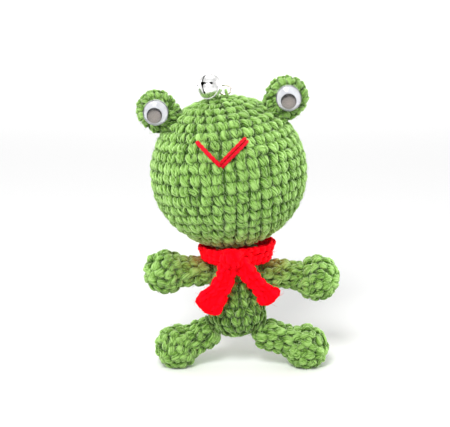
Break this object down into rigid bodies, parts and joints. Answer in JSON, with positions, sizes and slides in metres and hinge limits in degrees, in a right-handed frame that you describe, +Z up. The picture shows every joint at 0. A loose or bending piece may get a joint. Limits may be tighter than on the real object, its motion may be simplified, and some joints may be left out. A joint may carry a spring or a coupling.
{
  "type": "crocheted frog doll",
  "caption": "Stuffed crocheted frog doll that stands on ball feet, with posable arms and legs, googly eyes, a knotted scarf and a jingle bell on a jump ring.",
  "frame": {"origin": "on the floor the doll stands on, below the middle of its bounding box", "axes": "+Z up, -Y the way the face looks, +X to the doll's own left"},
  "size_m": [0.0647, 0.0505, 0.0962],
  "materials": {
    "green_yarn": "crocheted worsted yarn",
    "red_yarn": "crocheted worsted yarn",
    "stuffing": "loose polyester fibre",
    "eye_back": "white sheet plastic",
    "eye_dome": "clear formed plastic",
    "pupil": "black sheet plastic",
    "glue": "set hot-melt glue",
    "bell_plating": "bright nickel plate",
    "steel": "drawn wire"
  },
  "bodies": {
    "torso": {"torso_cover": "green_yarn", "torso_stuffing": "stuffing", "scarf_band": "red_yarn", "scarf_knot": "red_yarn", "right_shoulder_seam": "green_yarn", "left_shoulder_seam": "green_yarn", "right_hip_seam": "green_yarn", "left_hip_seam": "green_yarn"},
    "neck": {"neck_seam": "green_yarn"},
    "head": {"head_cover": "green_yarn", "head_stuffing": "stuffing", "crown_loop": "green_yarn", "right_lobe_cover": "green_yarn", "right_lobe_stuffing": "stuffing", "right_lobe_seam": "green_yarn", "right_eye_glue": "glue", "right_eye_back": "eye_back", "right_eye_dome": "eye_dome", "right_mouth_stitch": "red_yarn", "left_lobe_cover": "green_yarn", "left_lobe_stuffing": "stuffing", "left_lobe_seam": "green_yarn", "left_eye_glue": "glue", "left_eye_back": "eye_back", "left_eye_dome": "eye_dome", "left_mouth_stitch": "red_yarn"},
    "right_pupil_disc": {"right_pupil": "pupil"},
    "left_pupil_disc": {"left_pupil": "pupil"},
    "right_arm": {"right_arm_cover": "green_yarn", "right_arm_stuffing": "stuffing"},
    "left_arm": {"left_arm_cover": "green_yarn", "left_arm_stuffing": "stuffing"},
    "right_leg": {"right_leg_cover": "green_yarn", "right_leg_stuffing": "stuffing"},
    "left_leg": {"left_leg_cover": "green_yarn", "left_leg_stuffing": "stuffing"},
    "right_tail": {"right_scarf_tail": "red_yarn"},
    "left_tail": {"left_scarf_tail": "red_yarn"},
    "ring": {"jump_ring": "steel"},
    "bell": {"bell_crown": "bell_plating", "bell_mouth": "bell_plating", "bell_shank": "bell_plating"},
    "pellet": {"bell_pellet": "steel"}
  },
  "joints": [
    {"name": "head_turn", "type": "hinge", "parent": "torso", "child": "neck", "pos_m": [-0.0007, 0, 0.0396], "axis": [0, 0, 1], "range_deg": [-30, 30], "stiffness_Nm_per_rad": 0.03},
    {"name": "head_tilt", "type": "hinge", "parent": "neck", "child": "head", "pos_m": [-0.0007, 0, 0.0396], "axis": [0, 1, 0], "range_deg": [-2, 6], "stiffness_Nm_per_rad": 0.06},
    {"name": "right_shoulder", "type": "hinge", "parent": "torso", "child": "right_arm", "pos_m": [-0.0135, 0, 0.032], "axis": [0, 1, 0], "range_deg": [-50, 30], "stiffness_Nm_per_rad": 0.008},
    {"name": "left_shoulder", "type": "hinge", "parent": "torso", "child": "left_arm", "pos_m": [0.0121, 0, 0.0313], "axis": [0, -1, 0], "range_deg": [-50, 30], "stiffness_Nm_per_rad": 0.008},
    {"name": "right_hip", "type": "hinge", "parent": "torso", "child": "right_leg", "pos_m": [-0.012, 0, 0.0104], "axis": [0, 1, 0], "range_deg": [-12, 20], "stiffness_Nm_per_rad": 0.12},
    {"name": "left_hip", "type": "hinge", "parent": "torso", "child": "left_leg", "pos_m": [0.0106, 0, 0.0104], "axis": [0, -1, 0], "range_deg": [-12, 20], "stiffness_Nm_per_rad": 0.12},
    {"name": "right_tail_lift", "type": "hinge", "parent": "torso", "child": "right_tail", "pos_m": [-0.0029, -0.0132, 0.035], "axis": [1, 0, 0], "range_deg": [-55, 3], "stiffness_Nm_per_rad": 0.0008},
    {"name": "left_tail_lift", "type": "hinge", "parent": "torso", "child": "left_tail", "pos_m": [0.0011, -0.0132, 0.035], "axis": [1, 0, 0], "range_deg": [-55, 3], "stiffness_Nm_per_rad": 0.0008},
    {"name": "right_pupil_roll", "type": "hinge", "parent": "head", "child": "right_pupil_disc", "pos_m": [-0.02598, -0.0078, 0.08463], "axis": [0, -1, 0], "continuous": true},
    {"name": "left_pupil_roll", "type": "hinge", "parent": "head", "child": "left_pupil_disc", "pos_m": [0.01541, -0.0078, 0.08919], "axis": [0, -1, 0], "continuous": true},
    {"name": "ring_swing", "type": "hinge", "parent": "head", "child": "ring", "pos_m": [-0.00398, -0.00178, 0.08956], "axis": [0.9659, 0.1983, 0.1664], "range_deg": [-22, 0]},
    {"name": "bell_swing", "type": "hinge", "parent": "ring", "child": "bell", "pos_m": [-0.00647, -0.00057, 0.09058], "axis": [0.1736, -0.7544, -0.633], "range_deg": [-36, 0]},
    {"name": "pellet_roll", "type": "hinge", "parent": "bell", "child": "pellet", "pos_m": [-0.00925, -0.0043, 0.0923], "axis": [-0.5601, -0.7522, 0.3471], "continuous": true}
  ]
}
